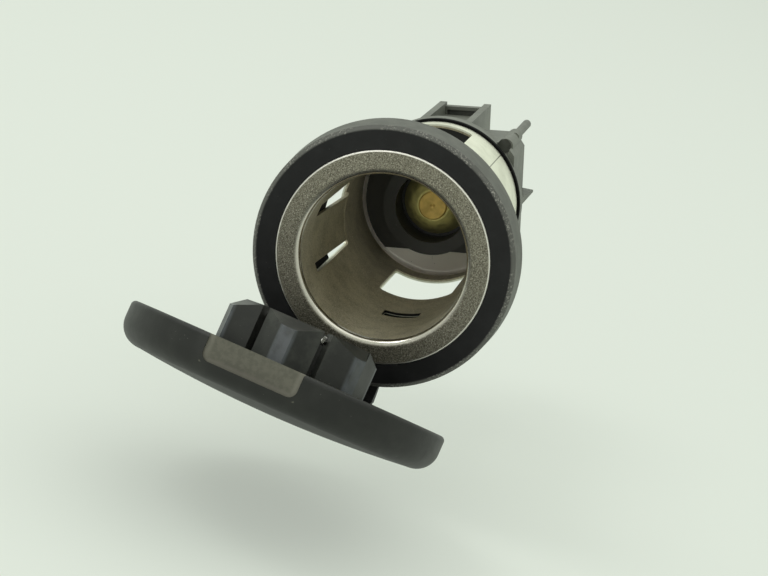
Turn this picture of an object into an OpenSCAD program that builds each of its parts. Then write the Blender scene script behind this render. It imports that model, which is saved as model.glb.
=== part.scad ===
// Panel-mounted 12 volt power socket with a captive plug lid.
//
// Working frame: the axis is z, the mouth faces +z and the ring seats on the panel at z = 0.
// The lid hangs on its strap at -y. Depths are measured from the front face of the ring.
// The strap lets the lid fold open and twist a little; the lid is drawn open, at rest.

/* [Front ring] */
// Outer diameter of the black ring at its front edge
ring_d = 33.2; // [30:0.1:40]
// Height of the ring above the panel
ring_height = 5; // [3:0.1:8]
// How much wider the radius is at the panel than at the front
ring_flare = 0.2; // [0:0.05:0.6]
// Bevel on the front edge of the ring
ring_bevel = 0.45; // [0.1:0.05:1]
// Outer diameter of the sleeve that passes through the panel
sleeve_d = 26; // [25:0.1:29]
// Depth of the back end of the sleeve
sleeve_depth = 17; // [10:0.5:22]

/* [Receptacle] */
// Bore of the receptacle
bore_d = 21; // [20.9:0.01:21.1]
// Sheet thickness of the receptacle
shell_wall = 0.5; // [0.4:0.05:0.9]
// Extra radius of the receptacle behind its neck
neck_relief = 0.2; // [0.18:0.01:0.4]
// Depth of the back end of the neck, the part that guides a plug
neck_depth = 7.2; // [5:0.1:9]
// Depth of the inside of the floor
well_depth = 40.2; // [34:0.1:46]
// Outside corner radius of the drawn floor
floor_corner = 1; // [0.8:0.1:2]
// Outer diameter of the rolled flange
flange_d = 27.1; // [26:0.1:32]
// How far the flange stands in front of the ring
flange_proud = 0.2; // [0:0.05:0.5]
// Visible radius of the rolled lip
lip_radius = 0.8; // [0.6:0.05:1.5]
// Turn of the windows and rear housing about the axis
clock_turn = -13.5; // [-45:0.5:45]

/* [Receptacle cut-outs] */
// Width of each large window
window_width = 9.9; // [6:0.1:12]
// Length of the windows along the axis
window_length = 12.2; // [8:0.1:14]
// Distance from the back edge of the windows to the floor
window_to_floor = 4; // [3:0.1:8]
// Corner radius of the cut-outs
cut_corner = 0.6; // [0.2:0.1:1.5]
// Width of each small latch slot
latch_slot_width = 4.9; // [3:0.1:7]
// Depth of the front edge of the latch slots
latch_slot_front = 13.2; // [11:0.1:15]
// Length of the latch slots along the axis
latch_slot_length = 2.8; // [2:0.1:4]

/* [Sprung tongues] */
// Width of each tongue
tongue_width = 6; // [4:0.1:8]
// Width of the gap on each side of a tongue
tongue_gap = 1.3; // [0.6:0.1:2]
// Distance from the end of the neck to the root of the tongues
tongue_setback = 0.2; // [0.1:0.05:2]
// Length of the tongues
tongue_length = 17.6; // [12:0.1:20]
// How far a tongue leans into the bore, in degrees
tongue_lean = 3.2; // [0:0.1:5]

/* [Centre contact] */
// Diameter of the insulator boss
boss_d = 13.4; // [11:0.1:15]
// Height of the boss above the floor
boss_height = 6.2; // [4:0.1:9]
// Diameter of the hollow in the boss
boss_hollow_d = 10; // [8:0.1:12]
// Thickness of the insulator base on the floor
base_thick = 1.2; // [0.8:0.1:2]
// Gap between the insulator base and the wall
base_gap = 0.55; // [0.5:0.05:0.9]
// Distance from the axis to the cut side of the insulator base
base_cut = 7.15; // [6.8:0.05:9]
// Height of the flat tip of the contact above the floor
tip_height = 5.2; // [3.5:0.1:8]
// Diameter of the flat tip, the head of the rivet
tip_d = 3.95; // [3:0.05:6]
// Thickness of the rivet head
head_thick = 0.6; // [0.4:0.05:1]
// Diameter of the rivet stem
stem_d = 3; // [2:0.05:3.4]
// Diameter of the foot of the sprung contact cone
cone_d = 9.2; // [7:0.1:9.8]
// Sheet thickness of the contact cone
cone_wall = 0.5; // [0.3:0.05:0.8]

/* [Terminals] */
// Width of the terminal blades
blade_width = 4.8; // [2.8:0.1:6.3]
// Thickness of the terminal sheet
blade_thick = 0.8; // [0.5:0.05:1]
// Distance of the positive blade from the axis
positive_offset = 3.5; // [2.5:0.1:5]
// Distance of the earth blade from the axis
earth_offset = 6.4; // [6:0.1:7]
// Distance of the ends of the blades inside the shroud's end
blade_inset = 2.5; // [1:0.1:5]
// Diameter of the insulating washer behind the floor
washer_d = 11; // [9:0.1:11.4]
// Thickness of the insulating washer
washer_thick = 0.8; // [0.5:0.1:1.5]

/* [Rear housing] */
// Width of the rear body
body_width = 20.6; // [18:0.1:22]
// Height of the rear body
body_height = 17.2; // [15:0.1:19]
// Diameter that trims the corners of the rear body
body_trim_d = 24.6; // [22:0.1:25]
// Length of the rear body behind the receptacle
body_length = 9.3; // [8:0.1:14]
// Length of the connector shroud behind the rear body
shroud_length = 10; // [6:0.1:14]
// Outside width of the connector shroud
shroud_width = 7.5; // [7:0.1:9]
// Wall thickness of the connector shroud
shroud_wall = 1; // [0.8:0.1:1.4]
// Height of the two guide ribs on the shroud
rib_height = 1.7; // [1.4:0.1:2.2]
// Length of the bar between the ends of the ribs
latch_bar = 1.5; // [1:0.1:2.5]
// Height of the latch slot under that bar
latch_slot = 0.75; // [0.5:0.05:0.9]
// Diameter of the keying pin
key_d = 1.25; // [1:0.05:1.6]
// Diameter of the boss that carries the pin
key_boss_d = 2.05; // [1.6:0.05:2.4]
// Distance of the keying pin from the side of the body
key_inset_x = 1.1; // [0.8:0.05:1.6]
// Distance of the keying pin from the top of the body
key_inset_y = 0.35; // [0.2:0.05:1.2]
// Diameter of the pocket in the body's corner, in front of the pin
pocket_d = 2; // [1.5:0.1:2.5]
// How far the side wedges stand out of the body
wedge_height = 1.7; // [0.5:0.1:2]
// Thickness of the side wedges
wedge_thick = 1.2; // [0.8:0.1:2]

/* [Lid] */
// Outer diameter of the lid
lid_d = 40.9; // [38:0.1:46]
// Height of the lid's rim, from its edge to the shoulder
lid_rim = 5; // [4:0.1:7]
// Rise of the domed outer face above the shoulder
lid_dome = 1; // [0:0.1:2]
// Radius of the outer edge of the lid
lid_edge = 2.8; // [1:0.1:3.5]
// Radius on the outer edge of the rim
lid_lip = 0.6; // [0.2:0.05:0.8]
// Wall thickness of the rim
lid_wall = 1.8; // [1.2:0.1:2.4]
// Gap between the closed lid's rim and the panel
lid_gap = 1.2; // [1.1:0.05:2]
// Turn of the finger notch away from the strap's far side
notch_turn = 13; // [-30:1:30]
// Width of the finger notch
notch_width = 11.8; // [8:0.1:16]
// Height of the finger notch
notch_height = 3.1; // [2:0.1:4]
// Depth of the finger notch
notch_depth = 1.2; // [0.5:0.1:1.5]
// Corner radius of the finger notch
notch_corner = 1; // [0.3:0.1:1.5]

/* [Plug] */
// Diameter of the plug over the ribs of its fingers
plug_d = 19.8; // [19:0.05:20]
// How far the fingers reach past the rim of the lid
plug_reach = 5.6; // [3:0.1:7]
// Number of fingers
finger_count = 6; // [5:1:8]
// Gap between two fingers
finger_gap = 1.1; // [0.8:0.1:2]
// Radius of the hollow inside the fingers
finger_hollow = 6.2; // [5.6:0.1:6.6]
// Width of the flat rib down the middle of a finger
finger_rib = 1.6; // [1:0.1:4]
// How far the flanks of a finger fall back at its sides
finger_fall = 2.6; // [1:0.05:2.8]
// Length along the axis of the bevel at the tip of a finger
finger_bevel = 1.4; // [0.5:0.1:2.5]
// Distance from the axis to the flat on the finger next to the strap
strap_flat = 8.9; // [8.5:0.05:9.1]
// Wire diameter of the spring ring inside the fingers
spring_wire = 1; // [0.6:0.05:1.2]

/* [Strap and opening] */
// Width of the strap
strap_width = 7; // [5:0.1:10]
// Thickness of the strap
strap_thick = 0.8; // [0.5:0.05:1]
// Distance from the strap's fold line to the outer edge of the lid
fold_inset = 1.05; // [0.9:0.05:1.5]
// How far the lid stands open, in degrees from closed
open_angle = 70; // [0:1:100]
// Twist of the strap for each degree that the lid opens
twist_ratio = -0.24; // [-0.3:0.01:0.3]

/* [Clearances] */
// Gap between parts that are assembled together
fit_gap = 0.05; // [0.02:0.01:0.1]
// Gap between the closed lid and the flange
lid_clearance = 0.4; // [0.2:0.05:0.8]

/* [Hidden] */
$fn = 48;
cut = 0.01;
bore_r = bore_d / 2;
relief_r = bore_r + neck_relief;
shell_r = relief_r + shell_wall;
ring_r = ring_d / 2;
seat_r = ring_r + ring_flare;
flange_r = flange_d / 2;
sleeve_bore = shell_r + 2 * fit_gap;
floor_back = well_depth + shell_wall;
window_back = well_depth - window_to_floor;
window_front = window_back - window_length;
tongue_root = neck_depth + tongue_setback;
boss_front = well_depth - boss_height;
tip_depth = well_depth - tip_height;
washer_back = floor_back + washer_thick;
terminal_back = washer_back + blade_thick;
stem_r = stem_d / 2;
tail_d = 1.7 * stem_d;
tail_back = terminal_back + head_thick;
floor_hole_r = stem_r + 1.2;
cone_foot = well_depth - base_thick - cut;
pocket_r = washer_d / 2 + 0.6;
web_front = tail_back + 0.6;
web_thick = 1.5;
body_back = floor_back + body_length;
shroud_back = body_back + shroud_length;
blade_end = shroud_back - blade_inset;
earth_foot = 2.2;
seal_width = 0.9;
seal_r = shell_r + 0.35;
housing_seat = floor_back - 1.4;
shroud_half = shroud_width / 2;
shroud_bottom = body_height / 2;
shroud_top = body_height / 2 + 0.4;
rim_edge = ring_height - lid_gap;
lid_r = lid_d / 2;
fold_offset = lid_r - fold_inset;
lid_inner = -flange_proud - lid_clearance;
lid_shoulder = rim_edge - lid_rim;
plug_r = plug_d / 2;
groove_r = finger_hollow + 0.3 * spring_wire;
finger_end = rim_edge + plug_reach;
plug_base = 1.2;
spigot_height = 1.2;
spigot_wall = 1.4;
strap_front = rim_edge + 0.2;
fold_depth = strap_front;

// A depth behind the ring's front face, as a height in the working frame.
function at(depth) = ring_height - depth;

// Turns the working frame so that the mouth faces -y and the strap is at the bottom.
module installed() {
    rotate([90, 0, 0])
        children();
}

// Features that follow the windows: y is outwards through the first window, x is to its side.
module clocked(turn = 0) {
    rotate([0, 0, -(clock_turn + turn)])
        children();
}

// Moves the lid from closed to its open place at rest.
module lid_open() {
    fold = [0, -fold_offset, at(fold_depth)];
    translate(fold)
        rotate([0, twist_ratio * open_angle, 0])
            rotate([open_angle, 0, 0])
                translate(-fold)
                    children();
}

// Half section of a drawn cup that is closed at the bottom, with a rounded corner.
module cup_section(radius, bottom, top, corner) {
    translate([0, bottom])
        square([radius - corner, top - bottom]);
    translate([0, bottom + corner])
        square([radius, top - bottom - corner]);
    translate([radius - corner, bottom + corner])
        circle(corner);
}

// Rectangle with round corners, drawn from circles so that the corners stay true arcs.
module round_rect(width, height, corner) {
    square([width - 2 * corner, height], center = true);
    square([width, height - 2 * corner], center = true);
    for (x = [-1, 1], y = [-1, 1])
        translate([x * (width / 2 - corner), y * (height / 2 - corner)])
            circle(corner);
}

// Cutter for an opening in the wall of the shell, on the +y side.
module wall_cut(width, front, back, corner) {
    translate([0, shell_r + 1, (at(front) + at(back)) / 2])
        rotate([90, 0, 0])
            linear_extrude(shell_wall + 2.5)
                round_rect(width, back - front, corner);
}

// The shell without its cut-outs: rolled flange, tube and floor.
module shell_blank() {
    front = at(-flange_proud);
    roll = bore_r + lip_radius;
    rotate_extrude() {
        difference() {
            cup_section(shell_r, at(floor_back), front - lip_radius, floor_corner);
            cup_section(relief_r, at(well_depth), at(neck_depth), floor_corner - shell_wall);
            translate([0, at(neck_depth) - cut])
                square([bore_r, neck_depth + ring_height]);
        }
        intersection() {
            difference() {
                translate([roll, front - lip_radius])
                    circle(lip_radius);
                translate([roll, front - lip_radius])
                    circle(lip_radius - shell_wall);
            }
            translate([bore_r - cut, front - lip_radius - cut])
                square([lip_radius + 2 * cut, lip_radius + 1]);
        }
        translate([roll, front - shell_wall])
            square([flange_r - shell_wall / 2 - roll, shell_wall]);
        translate([flange_r - shell_wall / 2, front - shell_wall / 2])
            circle(shell_wall / 2);
    }
}

// One sprung tongue on the +y side: a strip of the tube that leans inwards from its root,
// with a toe that turns out again so that a plug can slide past it.
module tongue() {
    toe = tongue_length / 8;
    straight = tongue_length - toe;
    sink = shell_wall / 5;
    root = tongue_setback + 0.3;
    translate([0, shell_r - sink, at(tongue_root)])
        rotate([-tongue_lean, 0, 0]) {
            tongue_strip(straight + 0.3, root);
            translate([0, 0, -straight])
                rotate([4 * tongue_lean, 0, 0])
                    tongue_strip(toe, 0.25);
        }
}

// A strip of the tube, hanging down from the local origin on its outer face.
module tongue_strip(length, root) {
    intersection() {
        translate([0, -shell_r, -length])
            difference() {
                cylinder(r = shell_r, h = length + root);
                translate([0, 0, -1])
                    cylinder(r = relief_r, h = length + root + 2);
            }
        translate([-tongue_width / 2, -3, -length - 1])
            cube([tongue_width, 4, length + root + 2]);
    }
}

module receptacle_shell() {
    color("Silver") {
        difference() {
            shell_blank();
            translate([0, 0, at(floor_back) - 1])
                cylinder(r = floor_hole_r, h = shell_wall + 2);
            for (turn = [0, 180])
                clocked(turn) {
                    wall_cut(window_width, window_front, window_back, cut_corner);
                    wall_cut(latch_slot_width, latch_slot_front, latch_slot_front + latch_slot_length, 0.3);
                }
            for (turn = [90, 270])
                clocked(turn)
                    wall_cut(tongue_width + 2 * tongue_gap, tongue_root,
                        tongue_root + tongue_length + tongue_gap, cut_corner);
        }
        for (turn = [90, 270])
            clocked(turn)
                tongue();
    }
}

module bezel_ring() {
    step = at(-flange_proud) - shell_wall;
    color("DimGray") {
        rotate_extrude()
            difference() {
                union() {
                    polygon([
                        [sleeve_bore, 0],
                        [seat_r - 0.3, 0],
                        [seat_r, 0.3],
                        [seat_r, 0.8],
                        [ring_r, ring_height - ring_bevel],
                        [ring_r - ring_bevel, ring_height],
                        [sleeve_bore, ring_height]
                    ]);
                    translate([sleeve_bore, at(sleeve_depth)])
                        square([sleeve_d / 2 - sleeve_bore, sleeve_depth]);
                }
                translate([sleeve_bore - 1, step])
                    square([flange_r + fit_gap - sleeve_bore + 1, 3]);
                translate([sleeve_d / 2 + 0.6, -1])
                    square([seat_r - sleeve_d / 2 - 2.2, 3.4]);
            }
        for (turn = [0, 180])
            clocked(turn)
                sleeve_barb();
    }
}

// Barb inside the sleeve that snaps into a latch slot of the shell.
module sleeve_barb() {
    width = latch_slot_width - 4 * fit_gap;
    back = at(latch_slot_front + latch_slot_length) + 2 * fit_gap;
    reach = shell_wall / 2;
    translate([width / 2, sleeve_bore + 0.3, back])
        rotate([90, 0, -90])
            linear_extrude(width)
                polygon([
                    [0, 0],
                    [0, latch_slot_length - 4 * fit_gap],
                    [reach + 0.3, latch_slot_length - 4 * fit_gap],
                    [0.3, 0]
                ]);
}

module contact_insulator() {
    base_r = relief_r - base_gap;
    color("Black")
        difference() {
            union() {
                difference() {
                    rotate_extrude()
                        cup_section(base_r, at(well_depth), at(well_depth - base_thick), floor_corner - shell_wall);
                    clocked(180)
                        translate([-relief_r, base_cut, at(well_depth) - 1])
                            cube([2 * relief_r, relief_r, base_thick + 2]);
                }
                translate([0, 0, at(well_depth)])
                    cylinder(d = boss_d, h = well_depth - boss_front);
                translate([0, 0, at(floor_back)])
                    cylinder(r = floor_hole_r - fit_gap, h = shell_wall + cut);
            }
            translate([0, 0, at(cone_foot)])
                cylinder(d = boss_hollow_d, h = well_depth);
            translate([0, 0, at(floor_back) - 1])
                cylinder(r = stem_r + fit_gap, h = well_depth);
        }
}

module centre_contact() {
    top = at(tip_depth + head_thick);
    foot = at(cone_foot);
    color("Olive")
        rotate_extrude()
            polygon([
                [stem_r + fit_gap, top],
                [tip_d / 2 + 0.25, top],
                [cone_d / 2, foot + 0.3],
                [cone_d / 2, foot],
                [cone_d / 2 - cone_wall, foot],
                [tip_d / 2 - cone_wall / 2 + 0.25, top - cone_wall],
                [stem_r + fit_gap, top - cone_wall]
            ]);
}

module contact_rivet() {
    color("Goldenrod")
        difference() {
            union() {
                translate([0, 0, at(tip_depth + head_thick)])
                    cylinder(d = tip_d, h = head_thick - 0.15);
                translate([0, 0, at(tip_depth + 0.15)])
                    cylinder(d1 = tip_d, d2 = tip_d - 0.3, h = 0.15);
                translate([0, 0, at(tail_back)])
                    cylinder(d = stem_d, h = tail_back - tip_depth - 0.2);
                translate([0, 0, at(tail_back)])
                    cylinder(d1 = tail_d - 0.5, d2 = tail_d, h = head_thick);
            }
            translate([0, 0, at(tip_depth) - 0.15])
                cylinder(d1 = 0.2, d2 = 0.7, h = 0.15 + cut);
        }
}

module insulating_washer() {
    color("SaddleBrown")
        translate([0, 0, at(washer_back)])
            difference() {
                cylinder(d = washer_d, h = washer_thick);
                translate([0, 0, -1])
                    cylinder(r = stem_r + fit_gap, h = washer_thick + 2);
            }
}

// A flat blade that runs back along the axis, its outer face at the given distance from it.
module blade(offset, front) {
    tip = 1.2;
    translate([-blade_width / 2, offset, at(blade_end - tip)])
        cube([blade_width, blade_thick, blade_end - tip - front]);
    translate([0, offset + blade_thick, at(blade_end)])
        rotate([90, 0, 0])
            linear_extrude(blade_thick)
                polygon([
                    [-blade_width / 2 + 0.9, 0],
                    [blade_width / 2 - 0.9, 0],
                    [blade_width / 2, tip + cut],
                    [-blade_width / 2, tip + cut]
                ]);
}

module positive_terminal() {
    color("DarkGoldenrod")
        clocked()
            difference() {
                union() {
                    translate([0, 0, at(terminal_back)])
                        cylinder(d = tail_d + 1.2, h = blade_thick);
                    translate([-blade_width / 2, 0, at(terminal_back)])
                        cube([blade_width, positive_offset + blade_thick, blade_thick]);
                    blade(positive_offset, washer_back);
                }
                translate([0, 0, at(terminal_back) - 1])
                    cylinder(r = stem_r + fit_gap, h = blade_thick + 2);
            }
}

module earth_terminal() {
    color("LightSteelBlue")
        clocked(180) {
            translate([-blade_width / 2, earth_offset, at(floor_back + blade_thick)])
                cube([blade_width, earth_foot, blade_thick]);
            blade(earth_offset, floor_back);
        }
}

// Soft ring round the end of the shell, against the front of the rear housing.
module seal_ring() {
    color("DarkSlateGray")
        rotate_extrude()
            translate([shell_r, at(housing_seat - fit_gap)])
                square([seal_r - shell_r, seal_width - fit_gap]);
}

module rear_housing() {
    collar_back = floor_back + 0.6;
    color("SlateGray")
        difference() {
            union() {
                translate([0, 0, at(collar_back)])
                    cylinder(r = seal_r, h = collar_back - housing_seat);
                clocked() {
                    housing_body(housing_seat + 0.6);
                    housing_shroud();
                    housing_wedges(housing_seat + 0.4);
                    housing_key();
                }
            }
            rotate_extrude()
                cup_section(shell_r + fit_gap, at(floor_back + fit_gap), at(neck_depth), floor_corner);
            translate([0, 0, at(web_front)])
                cylinder(r = pocket_r, h = web_front - floor_back + 1);
            clocked()
                housing_hollows();
        }
}

// The block behind the shell, trimmed by the width of the panel hole.
module housing_body(front) {
    intersection() {
        translate([0, 0, at(body_back)])
            linear_extrude(body_back - front)
                round_rect(body_width, body_height, 1);
        translate([0, 0, at(body_back)])
            cylinder(d = body_trim_d, h = body_back);
    }
}

// The connector shroud with its two guide ribs and the bar between their ends.
module housing_shroud() {
    length = shroud_back - floor_back - 1;
    translate([-shroud_half, -shroud_bottom, at(shroud_back)])
        cube([shroud_width, shroud_bottom + shroud_top, length]);
    for (side = [-1, 1])
        translate([side * (shroud_half - shroud_wall / 2) - shroud_wall / 2, shroud_top - cut, at(shroud_back)])
            cube([shroud_wall, rib_height, length]);
    difference() {
        translate([-shroud_half, shroud_top - cut, at(shroud_back)])
            cube([shroud_width, latch_slot + 0.5, latch_bar]);
        translate([-shroud_half + shroud_wall + 0.3, shroud_top, at(shroud_back) + 0.4])
            cube([shroud_width - 2 * shroud_wall - 0.6, latch_slot, latch_bar]);
    }
}

// Side wedges that rise towards the back of the body and taper to a point.
module housing_wedges(front) {
    foot = body_width / 2 - 1;
    crest = body_width / 2 + wedge_height;
    for (side = [0, 1])
        mirror([side, 0, 0])
            intersection() {
                translate([0, wedge_thick / 2, 0])
                    rotate([90, 0, 0])
                        linear_extrude(3 * wedge_thick)
                            polygon([
                                [foot, at(front)],
                                [shell_r - 0.1, at(front)],
                                [crest, at(body_back - 1.1)],
                                [body_width / 2, at(body_back)],
                                [foot, at(body_back)]
                            ]);
                translate([0, 0, at(body_back + 1)])
                    linear_extrude(body_back - front + 2)
                        polygon([
                            [foot, wedge_thick / 2],
                            [crest, wedge_thick / 2],
                            [crest, wedge_thick / 4],
                            [foot, -2 * wedge_thick]
                        ]);
            }
}

// The keying pin on one corner, with the thicker boss that carries it.
module housing_key() {
    x = body_width / 2 - key_inset_x;
    y = body_height / 2 - key_inset_y;
    step = (key_boss_d - key_d) / 2;
    boss_back = body_back + 0.8;
    boss_length = boss_back - floor_back - 1;
    translate([x, y, at(shroud_back) + key_d / 2])
        cylinder(d = key_d, h = shroud_back - body_back + key_boss_d);
    translate([x, y, at(shroud_back) + key_d / 2])
        sphere(d = key_d);
    translate([x - step, y - step, at(boss_back)])
        cylinder(d = key_boss_d, h = boss_length);
}

// Room for the terminals, the socket of the connector and the pocket in front of the pin.
module housing_hollows() {
    inner_half = shroud_half - shroud_wall;
    inner_top = shroud_top - shroud_wall;
    inner_bottom = shroud_bottom - shroud_wall;
    slot_width = blade_width + 2 * fit_gap;
    slot_height = blade_thick + 2 * fit_gap;
    earth_low = -earth_offset - blade_thick - fit_gap;
    translate([-inner_half, -inner_bottom, at(shroud_back) - 1])
        cube([2 * inner_half, inner_bottom + inner_top, shroud_back - web_front - web_thick + 1]);
    translate([-slot_width / 2, positive_offset - fit_gap, at(web_front + web_thick) - 1])
        cube([slot_width, slot_height, web_thick + 2]);
    translate([-slot_width / 2, earth_low, at(web_front + web_thick) - 1])
        cube([slot_width, slot_height, web_front + web_thick - floor_back + 2]);
    translate([-slot_width / 2, -earth_offset - earth_foot - 2 * fit_gap, at(floor_back + slot_height)])
        cube([slot_width, earth_foot + 4 * fit_gap, slot_height + 1]);
    translate([body_width / 2 - key_inset_x - 0.6, body_height / 2 - key_inset_y - 0.45, at(floor_back + 1.9)])
        cylinder(d = pocket_d, h = 5);
}

// The strap is drawn as it is at rest, twisted between the ring and the open lid.
module lid_strap() {
    root = seat_r + fit_gap;
    twist = twist_ratio * open_angle;
    middle = (root + fold_offset) / 2;
    color("Gray") {
        hull() {
            strap_slice(root, 0);
            strap_slice(middle, twist / 2);
        }
        hull() {
            strap_slice(middle, twist / 2);
            strap_slice(fold_offset, twist);
        }
        hull() {
            strap_slice(fold_offset, twist);
            lid_open()
                translate([-strap_width / 2, -fold_offset - 0.4, at(rim_edge + fit_gap)])
                    cube([strap_width, 0.8, 0.04]);
        }
    }
}

// A thin slice across the strap, at a distance from the axis and turned about its length.
module strap_slice(offset, turn) {
    translate([0, -offset, at(strap_front + strap_thick / 2)])
        rotate([0, turn, 0])
            cube([strap_width, 0.04, strap_thick], center = true);
}

module lid_cover() {
    shoulder = at(lid_shoulder);
    crown = shoulder + lid_dome;
    flat_r = lid_r - lid_edge;
    dome_r = (flat_r * flat_r + lid_dome * lid_dome) / (2 * lid_dome);
    color("DarkSlateGray")
        lid_open() {
            difference() {
                rotate_extrude()
                    difference() {
                        union() {
                            translate([0, at(rim_edge) + lid_lip])
                                square([lid_r, lid_rim - lid_edge - lid_lip]);
                            translate([lid_r - lid_lip, at(rim_edge) + lid_lip])
                                circle(lid_lip);
                            translate([0, at(rim_edge)])
                                square([lid_r - lid_lip, lid_rim / 2]);
                            translate([0, at(rim_edge)])
                                square([flat_r, lid_rim]);
                            intersection() {
                                translate([flat_r, shoulder - lid_edge])
                                    circle(lid_edge);
                                translate([flat_r - cut, shoulder - lid_edge - cut])
                                    square(lid_edge + 2 * cut);
                            }
                            intersection() {
                                translate([0, shoulder - 0.5])
                                    square([flat_r, lid_dome + 1]);
                                translate([0, crown - dome_r])
                                    circle(dome_r, $fn = 360);
                            }
                        }
                        translate([-1, at(rim_edge) - 1])
                            square([lid_r - lid_wall + 1, at(lid_inner) - at(rim_edge) + 1]);
                    }
                rotate([0, 0, -notch_turn])
                    translate([0, lid_r + 2, at(rim_edge)])
                        rotate([90, 0, 0])
                            linear_extrude(notch_depth + 2)
                                round_rect(notch_width, 2 * notch_height, notch_corner);
            }
            translate([0, 0, at(lid_inner) - spigot_height])
                difference() {
                    cylinder(r = finger_hollow - fit_gap, h = spigot_height + cut);
                    translate([0, 0, -1])
                        cylinder(r = finger_hollow - spigot_wall, h = spigot_height + 1);
                }
        }
}

// The plug is one ring of fingers on a thin base that sits round the spigot of the lid.
module lid_plug() {
    top = at(lid_inner);
    color("SlateGray")
        lid_open()
            difference() {
                union() {
                    translate([0, 0, top - plug_base])
                        cylinder(r = plug_r - finger_fall + 1, h = plug_base);
                    for (i = [0 : finger_count - 1])
                        rotate([0, 0, -notch_turn + i * 360 / finger_count])
                            finger(top - plug_base / 2);
                }
                translate([0, 0, at(finger_end) - 1])
                    cylinder(r = finger_hollow, h = finger_end + 2);
                translate([0, 0, spring_height()])
                    spring_torus(spring_wire + 2 * fit_gap, 360);
                translate([-plug_r, -strap_flat - plug_r, at(finger_end) - 1])
                    cube([plug_d, plug_r, finger_end + 2]);
            }
}

// One finger on the +y side: a flat rib between two flanks that fall back, bevelled at its tip.
module finger(base) {
    side_r = plug_r - finger_fall;
    apex = finger_gap / 2 / sin(180 / finger_count);
    half = (side_r - apex) * tan(180 / finger_count);
    low = at(finger_end);
    intersection() {
        translate([0, 0, low])
            linear_extrude(base - low)
                polygon([
                    [0, apex],
                    [-half, side_r],
                    [-finger_rib / 2, plug_r],
                    [finger_rib / 2, plug_r],
                    [half, side_r]
                ]);
        translate([-half - 1, 0, 0])
            rotate([90, 0, 90])
                linear_extrude(2 * half + 2)
                    polygon([
                        [0, low],
                        [side_r, low],
                        [plug_r + cut, low + finger_bevel],
                        [plug_r + cut, base],
                        [0, base]
                    ]);
    }
}

function spring_height() = at(finger_end - 0.9 * spring_wire);

// Round wire ring that rests in the groove inside the fingers.
module spring_torus(wire, angle) {
    rotate_extrude(angle = angle)
        translate([groove_r, 0])
            circle(d = wire);
}

module plug_spring() {
    color("Gainsboro")
        lid_open()
            translate([0, 0, spring_height()])
                rotate([0, 0, 70])
                    spring_torus(spring_wire, 335);
}

installed() {
    receptacle_shell();
    bezel_ring();
    contact_insulator();
    centre_contact();
    contact_rivet();
    insulating_washer();
    positive_terminal();
    earth_terminal();
    seal_ring();
    rear_housing();
    lid_strap();
    lid_cover();
    lid_plug();
    plug_spring();
}
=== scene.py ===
import math

import bmesh
import bpy
from mathutils import Matrix, Vector


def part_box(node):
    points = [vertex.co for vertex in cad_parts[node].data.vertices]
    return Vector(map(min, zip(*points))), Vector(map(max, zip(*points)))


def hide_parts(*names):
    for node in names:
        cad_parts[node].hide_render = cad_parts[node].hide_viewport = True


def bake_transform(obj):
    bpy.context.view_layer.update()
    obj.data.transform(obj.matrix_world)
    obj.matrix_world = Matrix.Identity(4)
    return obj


# Everything is in metres: the socket's axis is y, its mouth faces -y and the lid hangs at -z.
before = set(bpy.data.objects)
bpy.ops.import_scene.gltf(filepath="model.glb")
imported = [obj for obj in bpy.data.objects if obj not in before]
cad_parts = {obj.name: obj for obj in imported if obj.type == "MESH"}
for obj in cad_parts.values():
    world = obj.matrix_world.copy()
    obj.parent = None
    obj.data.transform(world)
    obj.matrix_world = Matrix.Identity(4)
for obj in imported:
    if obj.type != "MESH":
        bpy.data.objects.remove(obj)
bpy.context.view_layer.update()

MM = 0.001
RING_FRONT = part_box("bezel_ring")[0].y
RING_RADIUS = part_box("bezel_ring")[1].x
OPEN_ANGLE = math.radians(70)
STRAP_TWIST = math.radians(-16.8)
FOLD = Vector((0, -1.0, -19.4)) * MM
STRAP_WIDTH = 7 * MM
STRAP_THICK = 0.8 * MM
STRAP_STEPS = 8
STRAP_ROOT_GAP = 0.05 * MM
# The lowest point of the lid when it is opened to its limit, so that the floor never cuts it.
LID_LOWEST = -31.0 * MM
FLOOR_GAP = 0.3 * MM
FLOOR_SIZE = 3.0
BACKDROP = (0.745, 0.80, 0.715)


def depth(s_mm):
    """The y of a depth behind the ring's front face, given in millimetres."""
    return RING_FRONT + s_mm * MM


# Places where one surface ends and the next begins, which the materials' masks follow. They repeat
# the sizes of part.scad, and each pair is the two ends of a soft step.
RING_FACE_TO_SIDE = (16.05 * MM, 16.35 * MM)
RING_EDGE = (16.05 * MM, 16.62 * MM)
RING_EDGE_RADIUS = 16.5 * MM
RING_EDGE_BACK = (depth(0.75), depth(0.45))
# Within these radii and depths the ring is painted near black, as shade in the latch slots.
BARB_RADII = (11.9 * MM, 11.6 * MM)
BARB_DEPTHS = (depth(4), depth(5))
SHELL_OUTSIDE_TO_WALL = (11.02 * MM, 10.90 * MM)
SHELL_FRONT = (depth(0.9), depth(0.6))
FLANGE_INNER = (10.75 * MM, 11.25 * MM)
FLANGE_RIM = (13.30 * MM, 13.42 * MM)
SHELL_FLOOR = (depth(38.9), depth(39.4))
# Painted shade in the bore darkens over this span of depth.
SHELL_DEEP = (depth(14), depth(36))
# The painted reflection on the shell's floor fades over this span of x.
FLOOR_BRIGHT_TO_DIM = (-5 * MM, 6 * MM)
SPECKS_END = (depth(38), depth(34))
# Within these radii and depths the shell is painted near black, as shade on the latch slots' cut faces.
SLOT_WALL = (10.80 * MM, 11.12 * MM)
SLOT_DEPTHS = (depth(13.1), depth(16.1))
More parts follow.
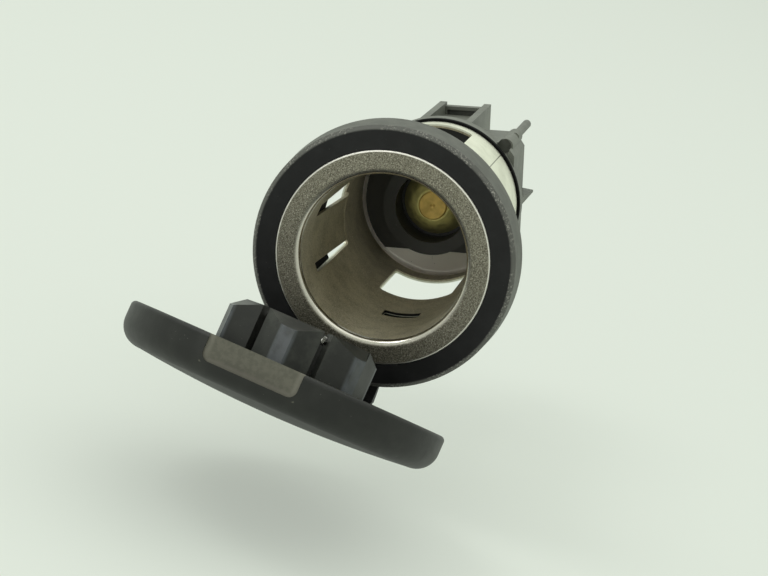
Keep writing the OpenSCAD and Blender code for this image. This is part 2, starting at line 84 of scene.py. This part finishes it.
# Both latch slots lie near the top and bottom, where z is more than this share of the radius.
SLOT_UPRIGHT = 0.85
SEAM_TURN = (0.640, 0.652)
SEAM_START = (depth(1.5), depth(2))
CONE_FOOT = (2.6 * MM, 4.5 * MM)
NOTCH_TURN = math.radians(13)
NOTCH_FLOOR = (18.9 * MM, 19.35 * MM)
NOTCH_SIDE = (6.0 * MM, 5.9 * MM)
NOTCH_FRONT = (depth(0.3), depth(0.5))
# The notch floor's painted highlight starts at these distances from its middle and its front.
NOTCH_BORDER = (4.9 * MM, 5.5 * MM)
NOTCH_BORDER_FRONT = (depth(1.4), depth(0.9))
# The plug's painted rib reflection starts over this span of radius.
PLUG_RIB = (9.55 * MM, 9.85 * MM)


# Turns the closed lid about the fold line to its open place at rest.
LID_OPENING = (
    Matrix.Translation(FOLD)
    @ Matrix.Rotation(STRAP_TWIST, 4, "Z")
    @ Matrix.Rotation(OPEN_ANGLE, 4, "X")
    @ Matrix.Translation(-FOLD)
)


# Camera

def make_camera():
    azimuth = math.radians(-7.49)
    elevation = math.radians(15.4)
    roll = math.radians(15.85)
    place = Vector((38.6, -289.15, 75.39)) * MM
    forward = Vector((
        math.sin(azimuth) * math.cos(elevation),
        math.cos(azimuth) * math.cos(elevation),
        -math.sin(elevation),
    ))
    level = Vector((math.cos(azimuth), -math.sin(azimuth), 0))
    upright = level.cross(forward)
    right = level * math.cos(roll) + upright * math.sin(roll)
    up = right.cross(forward)
    data = bpy.data.cameras.new("camera")
    data.sensor_width = 36
    data.lens = 112.5
    data.clip_start = 0.01
    data.clip_end = 20
    camera = bpy.data.objects.new("camera", data)
    turned = Matrix((right, up, -forward)).transposed().to_4x4()
    camera.matrix_world = Matrix.Translation(place) @ turned
    bpy.context.scene.collection.objects.link(camera)
    bpy.context.scene.camera = camera


# Shader helpers

class Shader:
    """One material's nodes, with a short call for each kind that is used here."""

    def __init__(self, name):
        self.material = bpy.data.materials.new(name)
        self.material.use_nodes = True
        self.tree = self.material.node_tree
        self.tree.nodes.clear()
        self.output = self.tree.nodes.new("ShaderNodeOutputMaterial")
        self.surface = self.tree.nodes.new("ShaderNodeBsdfPrincipled")
        self.tree.links.new(self.surface.outputs[0], self.output.inputs[0])
        self.place = self.tree.nodes.new("ShaderNodeTexCoord").outputs["Object"]

    def put(self, socket, value):
        if isinstance(value, bpy.types.NodeSocket):
            self.tree.links.new(value, socket)
        elif value is not None:
            socket.default_value = value

    def set(self, **values):
        for name, value in values.items():
            self.put(self.surface.inputs[name.replace("_", " ")], value)

    def math(self, operation, a, b=None, c=None):
        made = self.tree.nodes.new("ShaderNodeMath")
        made.operation = operation
        for socket, value in zip(made.inputs, (a, b, c)):
            self.put(socket, value)
        return made.outputs[0]

    def times(self, a, b):
        return self.math("MULTIPLY", a, b)

    def split(self, vector):
        made = self.tree.nodes.new("ShaderNodeSeparateXYZ")
        self.put(made.inputs[0], vector)
        return made.outputs[0], made.outputs[1], made.outputs[2]

    def join(self, x, y, z):
        made = self.tree.nodes.new("ShaderNodeCombineXYZ")
        for socket, value in zip(made.inputs, (x, y, z)):
            self.put(socket, value)
        return made.outputs[0]

    def step(self, value, low, high, out_low=0.0, out_high=1.0):
        """A smooth step from out_low at low to out_high at high."""
        made = self.tree.nodes.new("ShaderNodeMapRange")
        made.interpolation_type = "SMOOTHSTEP"
        ends = {"From Min": low, "From Max": high, "To Min": out_low, "To Max": out_high}
        for name, number in ends.items():
            self.put(made.inputs[name], number)
        self.put(made.inputs["Value"], value)
        return made.outputs[0]

    def band(self, value, low, high, soft):
        """One between low and high, fading to nothing over soft on each side."""
        rise = self.step(value, low - soft, low + soft)
        fall = self.step(value, high - soft, high + soft, 1.0, 0.0)
        return self.times(rise, fall)

    def noise(self, scale, detail=2.0, vector=None, roughness=0.5):
        made = self.tree.nodes.new("ShaderNodeTexNoise")
        self.put(made.inputs["Vector"], self.place if vector is None else vector)
        made.inputs["Scale"].default_value = scale
        made.inputs["Detail"].default_value = detail
        made.inputs["Roughness"].default_value = roughness
        return made.outputs[0]

    def cells(self, scale):
        made = self.tree.nodes.new("ShaderNodeTexVoronoi")
        self.put(made.inputs["Vector"], self.place)
        made.inputs["Scale"].default_value = scale
        made.inputs["Randomness"].default_value = 1.0
        return made.outputs["Distance"]

    def specks(self, scale, patches, low, high, amount):
        """Fine specks that keep to scattered patches."""
        dots = self.times(self.step(self.cells(scale), 0.10, 0.04), amount)
        return self.times(dots, self.step(self.noise(patches, 2), low, high))

    def mix(self, mask, a, b):
        made = self.tree.nodes.new("ShaderNodeMix")
        made.data_type = "RGBA"
        self.put(made.inputs[0], mask)
        for socket, value in ((made.inputs[6], a), (made.inputs[7], b)):
            self.put(socket, value + (1.0,) if isinstance(value, tuple) else value)
        return made.outputs[2]

    def blend(self, mask, a, b):
        """A number that goes from a to b with the mask."""
        made = self.tree.nodes.new("ShaderNodeMix")
        for socket, value in ((made.inputs[0], mask), (made.inputs[2], a), (made.inputs[3], b)):
            self.put(socket, value)
        return made.outputs[0]

    def bump(self, height, distance):
        made = self.tree.nodes.new("ShaderNodeBump")
        made.inputs["Distance"].default_value = distance
        made.inputs["Strength"].default_value = 1.0
        self.put(made.inputs["Height"], height)
        return made.outputs[0]

    def moved(self, matrix):
        """Object coordinates taken back through a rigid motion."""
        made = self.tree.nodes.new("ShaderNodeMapping")
        made.vector_type = "TEXTURE"
        made.inputs["Location"].default_value = matrix.to_translation()
        made.inputs["Rotation"].default_value = matrix.to_euler("XYZ")
        self.put(made.inputs["Vector"], self.place)
        return made.outputs[0]

    def polar(self, vector=None):
        """Radius from the y axis, height along it and turn about it, in metres and radians."""
        x, y, z = self.split(self.place if vector is None else vector)
        radius = self.math("SQRT", self.math("ADD", self.times(x, x), self.times(z, z)))
        return radius, y, self.math("ARCTAN2", x, z)


# Materials

def moulded_plastic(name, colour, roughness, dust=0.15, specular=0.5):
    """Moulded plastic: fine satin grain, soft cloudiness and a little pale dust."""
    shader = Shader(name)
    cloud = shader.noise(250, 3)
    tone = shader.mix(shader.step(cloud, 0.35, 0.7), colour, tuple(c * 1.35 for c in colour))
    tone = shader.mix(shader.specks(1400, 420, 0.52, 0.66, dust), tone, (0.45, 0.44, 0.40))
    shader.set(
        Base_Color=tone,
        Roughness=shader.blend(shader.noise(900, 2), roughness - 0.06, roughness + 0.08),
        Specular_IOR_Level=specular,
        Normal=shader.bump(shader.noise(4200, 2), 0.010 * MM),
    )
    return shader


def ring_plastic():
    """The black ring: dark satin face, greyer side, a painted highlight all along its front edge, and worn
    nicks on that edge.
    """
    shader = Shader("ring_plastic")
    radius, y, turn = shader.polar()
    cloud = shader.noise(420, 4, roughness=0.6)
    face = shader.mix(shader.step(cloud, 0.4, 0.75), (0.0035, 0.0035, 0.0037), (0.0075, 0.0075, 0.0078))
    side = shader.mix(shader.step(cloud, 0.35, 0.7), (0.094, 0.099, 0.083), (0.122, 0.127, 0.106))
    tone = shader.mix(shader.step(radius, *RING_FACE_TO_SIDE), face, side)

    edge = shader.band(radius, *RING_EDGE, 0.10 * MM)
    edge = shader.times(edge, shader.step(y, *RING_EDGE_BACK))
    around = shader.join(shader.times(turn, RING_EDGE_RADIUS), y, radius)
    nicks = shader.step(shader.noise(3400, 3, vector=around, roughness=0.7), 0.52, 0.60)
    sparse = shader.step(shader.noise(300, 2, vector=around), 0.36, 0.55)
    worn = shader.times(edge, shader.times(nicks, sparse))
    # Painted highlight: a paler band along the whole front edge. The nicks mixed in next are wear.
    tone = shader.mix(shader.times(edge, 0.75), tone, (0.100, 0.101, 0.090))
    tone = shader.mix(worn, tone, (0.30, 0.295, 0.26))
    tone = shader.mix(shader.specks(2100, 700, 0.57, 0.68, 0.55), tone, (0.16, 0.155, 0.14))

    # Painted shade: the barbs that fill the shell's latch slots are coloured near black and made fully
    # rough, to stand for the shade in those slots.
    barb_shade = shader.times(shader.step(radius, *BARB_RADII), shader.step(y, *BARB_DEPTHS))
    tone = shader.mix(barb_shade, tone, (0.0015, 0.0015, 0.0015))
    rough = shader.blend(shader.noise(900, 3), 0.46, 0.62)
    height = shader.math("SUBTRACT", shader.noise(4200, 3), shader.times(worn, 3.0))
    shader.set(
        Base_Color=tone,
        Roughness=shader.blend(barb_shade, rough, 1.0),
        Specular_IOR_Level=0.32,
        Normal=shader.bump(height, 0.012 * MM),
    )
    return shader


def plated_steel():
    """Nickel-plated sheet: mottled flange, stained bore with dust specks, satin outside; painted shade
    further into the bore and in the latch slots, and a painted reflection on the floor.
    """
    shader = Shader("plated_steel")
    radius, y, turn = shader.polar()
    x, _, z = shader.split(shader.place)
    inside = shader.step(radius, *SHELL_OUTSIDE_TO_WALL)
    front = shader.step(y, *SHELL_FRONT)
    flange = shader.times(front, shader.step(radius, *FLANGE_INNER))
    rim = shader.times(front, shader.step(radius, *FLANGE_RIM))
    floor = shader.step(y, *SHELL_FLOOR)

    grain = shader.noise(6500, 3, roughness=0.6)
    mottle = shader.noise(6000, 4, roughness=0.75)
    stain = shader.noise(330, 4, roughness=0.6)
    speckle = shader.step(shader.noise(3600, 4, roughness=0.7), 0.50, 0.70)

    outer_tone = shader.mix(shader.step(stain, 0.35, 0.7), (0.86, 0.87, 0.73), (0.74, 0.75, 0.62))
    wall_tone = shader.mix(shader.step(stain, 0.3, 0.7), (0.55, 0.50, 0.35), (0.34, 0.305, 0.205))
    wall_tone = shader.mix(shader.step(grain, 0.45, 0.70), wall_tone, (0.66, 0.60, 0.45))
    wall_tone = shader.mix(shader.times(speckle, 0.6), wall_tone, (0.17, 0.155, 0.10))
    # Painted shade: the bore wall is coloured darker the further in it goes.
    deep_shade = shader.times(shader.step(y, *SHELL_DEEP), 0.35)
    wall_tone = shader.mix(deep_shade, wall_tone, (0.16, 0.135, 0.09))
    face_tone = shader.mix(shader.step(mottle, 0.40, 0.60), (0.250, 0.233, 0.180), (0.095, 0.087, 0.066))
    face_tone = shader.mix(shader.step(grain, 0.5, 0.7), face_tone, (0.44, 0.42, 0.345))
    # Painted reflection: the shell's floor is coloured near white, as the light it reflects, fading to a
    # duller tone from -x to +x.
    floor_light_falloff = shader.step(x, *FLOOR_BRIGHT_TO_DIM)
    painted_floor_reflection = shader.mix(floor_light_falloff, (1.0, 0.94, 0.88), (0.72, 0.67, 0.59))

    tone = shader.mix(inside, outer_tone, wall_tone)
    tone = shader.mix(front, tone, (0.58, 0.55, 0.49))
    tone = shader.mix(flange, tone, face_tone)
    tone = shader.mix(rim, tone, (0.85, 0.82, 0.76))
    tone = shader.mix(floor, tone, painted_floor_reflection)

    dirt = shader.times(shader.step(shader.cells(1500), 0.13, 0.05), 0.8)
    dirt = shader.times(dirt, shader.step(shader.noise(520, 2), 0.52, 0.64))
    tone = shader.mix(dirt, tone, (0.05, 0.04, 0.03))
    dust = shader.step(shader.cells(2600), 0.20, 0.08)
    dust = shader.times(dust, shader.step(shader.noise(380, 3), 0.46, 0.62))
    dust = shader.times(dust, shader.times(inside, shader.step(y, *SPECKS_END)))
    tone = shader.mix(dust, tone, (0.85, 0.80, 0.66))

    seam = shader.times(shader.band(turn, *SEAM_TURN, 0.004), shader.step(y, *SEAM_START))
    tone = shader.mix(shader.times(seam, 0.7), tone, (0.10, 0.09, 0.07))
    # Painted shade: the cut faces of both latch slots in the shell are coloured near black.
    upright = shader.math("GREATER_THAN", shader.math("ABSOLUTE", z), shader.times(radius, SLOT_UPRIGHT))
    slot_shade = shader.times(upright, shader.band(radius, *SLOT_WALL, 0.03 * MM))
    slot_shade = shader.times(slot_shade, shader.band(y, *SLOT_DEPTHS, 0.03 * MM))
    tone = shader.mix(slot_shade, tone, (0.004, 0.004, 0.003))

    rough = shader.blend(inside, 0.46, 0.50)
    rough = shader.blend(front, rough, 0.20)
    rough = shader.blend(flange, rough, shader.blend(mottle, 0.34, 0.50))
    rough = shader.blend(floor, rough, 0.30)

    metallic = shader.blend(inside, 0.75, 0.6)
    metallic = shader.blend(front, metallic, 1.0)
    metallic = shader.blend(flange, metallic, 0.85)
    metallic = shader.blend(rim, metallic, 1.0)
    metallic = shader.blend(floor, metallic, 0.1)

    drawn = shader.noise(2600, 3, vector=shader.join(shader.times(turn, 2.0 * MM), y, radius))
    height = shader.math("ADD", shader.times(mottle, shader.blend(flange, 0.5, 2.6)), drawn)
    height = shader.times(height, shader.blend(floor, 1.0, 0.15))
    height = shader.math("SUBTRACT", height, shader.times(seam, 6.0))
    shader.set(
        Base_Color=tone,
        Metallic=metallic,
        Roughness=rough,
        Normal=shader.bump(height, 0.012 * MM),
    )
    return shader


def metal(name, colour, roughness, stain=None, metallic=1.0):
    """Plain metal with faint stains and a fine grain."""
    shader = Shader(name)
    cloud = shader.step(shader.noise(700, 3), 0.4, 0.7)
    tone = shader.mix(cloud, colour, stain or tuple(c * 0.7 for c in colour))
    shader.set(
        Base_Color=tone,
        Metallic=metallic,
        Roughness=shader.blend(shader.noise(1500, 2), roughness - 0.05, roughness + 0.1),
        Normal=shader.bump(shader.noise(3000, 2), 0.006 * MM),
    )
    return shader


def cone_brass():
    """The sprung contact: pale brass, tarnished towards its foot."""
    shader = Shader("tarnished_brass")
    radius = shader.polar()[0]
    cloud = shader.step(shader.noise(700, 3), 0.4, 0.7)
    tone = shader.mix(cloud, (0.95, 0.86, 0.33), (0.72, 0.65, 0.23))
    uneven = shader.math("ADD", radius, shader.times(cloud, 0.3 * MM))
    foot = shader.times(shader.step(uneven, *CONE_FOOT), 0.75)
    tone = shader.mix(foot, tone, (0.20, 0.19, 0.10))
    shader.set(
        Base_Color=tone,
        Metallic=0.1,
        Roughness=0.55,
        Normal=shader.bump(shader.noise(3000, 2), 0.006 * MM),
    )
    return shader


def notch_floor(shader):
    """Masks of the lid's finger notch: its floor, and the sides and front of that floor, where a highlight
    is painted.
    """
    x, y, z = shader.split(shader.moved(LID_OPENING))
    sine, cosine = math.sin(NOTCH_TURN), math.cos(NOTCH_TURN)
    out = shader.math("ADD", shader.times(x, sine), shader.times(z, cosine))
    across = shader.math("SUBTRACT", shader.times(x, cosine), shader.times(z, sine))
    aside = shader.math("ABSOLUTE", across)
    floor = shader.times(shader.band(out, *NOTCH_FLOOR, 0.04 * MM), shader.step(aside, *NOTCH_SIDE))
    floor = shader.times(floor, shader.step(y, *NOTCH_FRONT))
    notch_edge_highlight = shader.math("MAXIMUM", shader.step(aside, *NOTCH_BORDER), shader.step(y, *NOTCH_BORDER_FRONT))
    return floor, notch_edge_highlight


def lid_plastic():
    """The lid: satin black plastic, with a paler floor of dust in its finger notch and a painted highlight
    along that floor's sides and front.
    """
    shader = Shader("lid_plastic")
    floor, notch_edge_highlight = notch_floor(shader)
    cloud = shader.noise(260, 3)
    tone = shader.mix(shader.step(cloud, 0.4, 0.7), (0.0105, 0.0110, 0.0092), (0.0170, 0.0176, 0.0148))
    blotch = shader.noise(1700, 4, roughness=0.6)
    dust_and_highlight = shader.mix(shader.step(blotch, 0.38, 0.62), (0.096, 0.094, 0.072), (0.118, 0.114, 0.088))
    # Painted highlight: the sides and front of the notch floor are coloured paler.
    dust_and_highlight = shader.mix(shader.times(notch_edge_highlight, 0.7), dust_and_highlight, (0.172, 0.165, 0.132))
    tone = shader.mix(floor, tone, dust_and_highlight)
    tone = shader.mix(shader.specks(1700, 520, 0.54, 0.66, 0.35), tone, (0.26, 0.25, 0.23))
    rough = shader.blend(shader.noise(800, 3), 0.42, 0.54)
    shader.set(
        Base_Color=tone,
        Roughness=shader.blend(floor, rough, 0.75),
        Specular_IOR_Level=0.36,
        Normal=shader.bump(shader.noise(3600, 3), 0.012 * MM),
    )
    return shader


def plug_plastic():
    """The plug: dark olive-grey plastic, painted paler and bluish along the ribs of its fingers as a
    reflection, and smoother there.
    """
    shader = Shader("plug_plastic")
    radius = shader.polar(shader.moved(LID_OPENING))[0]
    cloud = shader.noise(420, 3)
    tone = shader.mix(shader.step(cloud, 0.35, 0.7), (0.0145, 0.0152, 0.0125), (0.0220, 0.0230, 0.0190))
    uneven = shader.step(shader.noise(600, 3), 0.25, 0.65, 0.45, 1.0)
    # Painted reflection: the finger ribs are coloured paler and bluish, as reflected sky; they are also
    # made smoother.
    rib_sheen = shader.times(shader.step(radius, *PLUG_RIB), uneven)
    tone = shader.mix(rib_sheen, tone, (0.085, 0.095, 0.100))
    smear = shader.times(shader.step(shader.noise(230, 4, roughness=0.65), 0.50, 0.68), 0.3)
    tone = shader.mix(smear, tone, (0.085, 0.090, 0.072))
    tone = shader.mix(shader.specks(1500, 420, 0.52, 0.66, 0.3), tone, (0.30, 0.29, 0.25))
    rough = shader.blend(shader.noise(800, 2), 0.34, 0.46)
    shader.set(
        Base_Color=tone,
        Roughness=shader.blend(rib_sheen, rough, 0.28),
        Specular_IOR_Level=0.42,
        Normal=shader.bump(shader.noise(4000, 2), 0.010 * MM),
    )
    return shader


MATERIALS = {
    "bezel_ring": ring_plastic(),
    "receptacle_shell": plated_steel(),
    "contact_insulator": moulded_plastic("insulator", (0.016, 0.0155, 0.015), 0.36),
    "centre_contact": cone_brass(),
    "contact_rivet": metal("rivet_brass", (0.72, 0.51, 0.155), 0.42, (0.52, 0.36, 0.105), metallic=0.7),
    "insulating_washer": moulded_plastic("fibre", (0.16, 0.075, 0.035), 0.7),
    "positive_terminal": metal("terminal_brass", (0.62, 0.45, 0.17), 0.3),
    "earth_terminal": metal("tinned_steel", (0.62, 0.62, 0.60), 0.35),
    "seal_ring": moulded_plastic("soft_rubber", (0.004, 0.004, 0.004), 0.85, dust=0.05, specular=0.08),
    "rear_housing": moulded_plastic("housing_plastic", (0.112, 0.118, 0.096), 0.5, dust=0.5),
    "lid_strap": moulded_plastic("strap_plastic", (0.015, 0.015, 0.016), 0.5),
    "lid_cover": lid_plastic(),
    "lid_plug": plug_plastic(),
    "plug_spring": metal("spring_steel", (0.66, 0.65, 0.62), 0.22),
}


def dress_nodes():
    """Gives every CAD node its material and smooth shading over its gentle curves."""
    for name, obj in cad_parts.items():
        obj.data.materials.clear()
        obj.data.materials.append(MATERIALS[name].material)
        obj.data.polygons.foreach_set("use_smooth", [True] * len(obj.data.polygons))
        obj.data.set_sharp_from_angle(angle=math.radians(20))


# Strap

def strap_section(centre, across, through):
    """Four corners of the strap's cross-section."""
    half_width = across * (STRAP_WIDTH / 2)
    half_thick = through * (STRAP_THICK / 2)
    return [
        centre - half_width - half_thick,
        centre + half_width - half_thick,
        centre + half_width + half_thick,
        centre - half_width + half_thick,
    ]


def loft(name, sections, material):
    """A closed band through a row of four-cornered sections."""
    made = bmesh.new()
    rows = [[made.verts.new(corner) for corner in section] for section in sections]
    for near, far in zip(rows, rows[1:]):
        for i in range(4):
            made.faces.new((near[i], near[(i + 1) % 4], far[(i + 1) % 4], far[i]))
    made.faces.new(reversed(rows[0]))
    made.faces.new(rows[-1])
    bmesh.ops.recalc_face_normals(made, faces=made.faces)
    mesh = bpy.data.meshes.new(name)
    made.to_mesh(mesh)
    made.free()
    mesh.materials.append(material)
    obj = bpy.data.objects.new(name, mesh)
    bpy.context.scene.collection.objects.link(obj)
    return obj


def strap_facing(share):
    """The directions across and through the strap, after a share of its twist."""
    turned = Matrix.Rotation(STRAP_TWIST * share, 3, "Z")
    return turned @ Vector((1, 0, 0)), turned @ Vector((0, 1, 0))


def make_strap():
    """The flexible strap in two bands: one twists away from the ring, one folds up to the lid."""
    middle = FOLD.y + STRAP_THICK / 2
    root = Vector((0, middle, -(RING_RADIUS + STRAP_ROOT_GAP)))
    bend = Vector((0, middle, FOLD.z))
    lid_end = LID_OPENING @ Vector((0, depth(3.8) - 0.02 * MM, FOLD.z))
    shares = [i / STRAP_STEPS for i in range(STRAP_STEPS + 1)]

    twisting = [strap_section(root.lerp(bend, share), *strap_facing(share)) for share in shares]
    inner = loft("strap_ring_half", twisting, MATERIALS["lid_strap"].material)

    # The outer band leaves the fold fully twisted and meets the lid flat against its rim.
    across, through = strap_facing(1)
    outward = (LID_OPENING.to_3x3() @ Vector((0, 0, -1))).normalized()
    folding = []
    for share in shares:
        facing = through.lerp(-outward, share).normalized()
        folding.append(strap_section(bend.lerp(lid_end, share), across, facing))
    outer = loft("strap_lid_half", folding, MATERIALS["lid_strap"].material)

    for piece in (inner, outer):
        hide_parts("lid_strap")
    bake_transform(inner)
    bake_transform(outer)


# Stage

def seen_directly(tree):
    """One for what the camera sees, also in metal or through glass, and nought for other light."""
    path = tree.nodes.new("ShaderNodeLightPath").outputs
    seen = path["Is Camera Ray"]
    for ray in ("Is Glossy Ray", "Is Transmission Ray"):
        either = tree.nodes.new("ShaderNodeMath")
        either.operation = "MAXIMUM"
        tree.links.new(seen, either.inputs[0])
        tree.links.new(path[ray], either.inputs[1])
        seen = either.outputs[0]
    return seen


def pale_floor(colour, glow):
    """A matt floor whose plain colour shows through its shadows, as on thin pale foam."""
    shader = Shader("floor")
    shader.set(Base_Color=colour + (1,), Roughness=0.9, Specular_IOR_Level=0.1)
    plain = shader.tree.nodes.new("ShaderNodeEmission")
    plain.inputs["Color"].default_value = colour + (1,)
    both = shader.tree.nodes.new("ShaderNodeMixShader")
    shader.put(both.inputs[0], shader.times(seen_directly(shader.tree), glow))
    shader.put(both.inputs[1], shader.surface.outputs[0])
    shader.put(both.inputs[2], plain.outputs[0])
    shader.put(shader.output.inputs[0], both.outputs[0])
    return shader.material


def make_world():
    """Soft light from all round, with the floor's colour behind the object where it is seen."""
    world = bpy.data.worlds.new("studio")
    bpy.context.scene.world = world
    world.use_nodes = True
    tree = world.node_tree
    fill = tree.nodes["Background"]
    fill.inputs["Color"].default_value = (0.86, 0.89, 0.85, 1)
    fill.inputs["Strength"].default_value = 0.72
    plain = tree.nodes.new("ShaderNodeBackground")
    plain.inputs["Color"].default_value = BACKDROP + (1,)
    both = tree.nodes.new("ShaderNodeMixShader")
    tree.links.new(seen_directly(tree), both.inputs[0])
    tree.links.new(fill.outputs[0], both.inputs[1])
    tree.links.new(plain.outputs[0], both.inputs[2])
    tree.links.new(both.outputs[0], tree.nodes["World Output"].inputs["Surface"])


def make_floor():
    bpy.ops.mesh.primitive_plane_add(size=FLOOR_SIZE, location=(0, 0, LID_LOWEST - FLOOR_GAP))
    floor = bpy.context.object
    floor.name = "floor"
    floor.data.materials.append(pale_floor(BACKDROP, 0.45))


def make_light(name, place, size, power):
    """A square lamp that faces the origin."""
    data = bpy.data.lights.new(name, "AREA")
    data.size = size
    data.energy = power
    light = bpy.data.objects.new(name, data)
    light.location = place
    light.rotation_mode = "QUATERNION"
    light.rotation_quaternion = (Vector((0, 0, 0)) - Vector(place)).to_track_quat("-Z", "Y")
    bpy.context.scene.collection.objects.link(light)


make_camera()
dress_nodes()
make_strap()
make_floor()
make_world()
make_light("key", (0.05, 0.10, 0.75), 1.3, 3.1)
make_light("side", (-0.40, -0.10, 0.55), 0.25, 0.7)
make_light("front", (-0.25, -0.60, 0.12), 0.4, 0.6)
bpy.context.scene.view_settings.view_transform = "Standard"
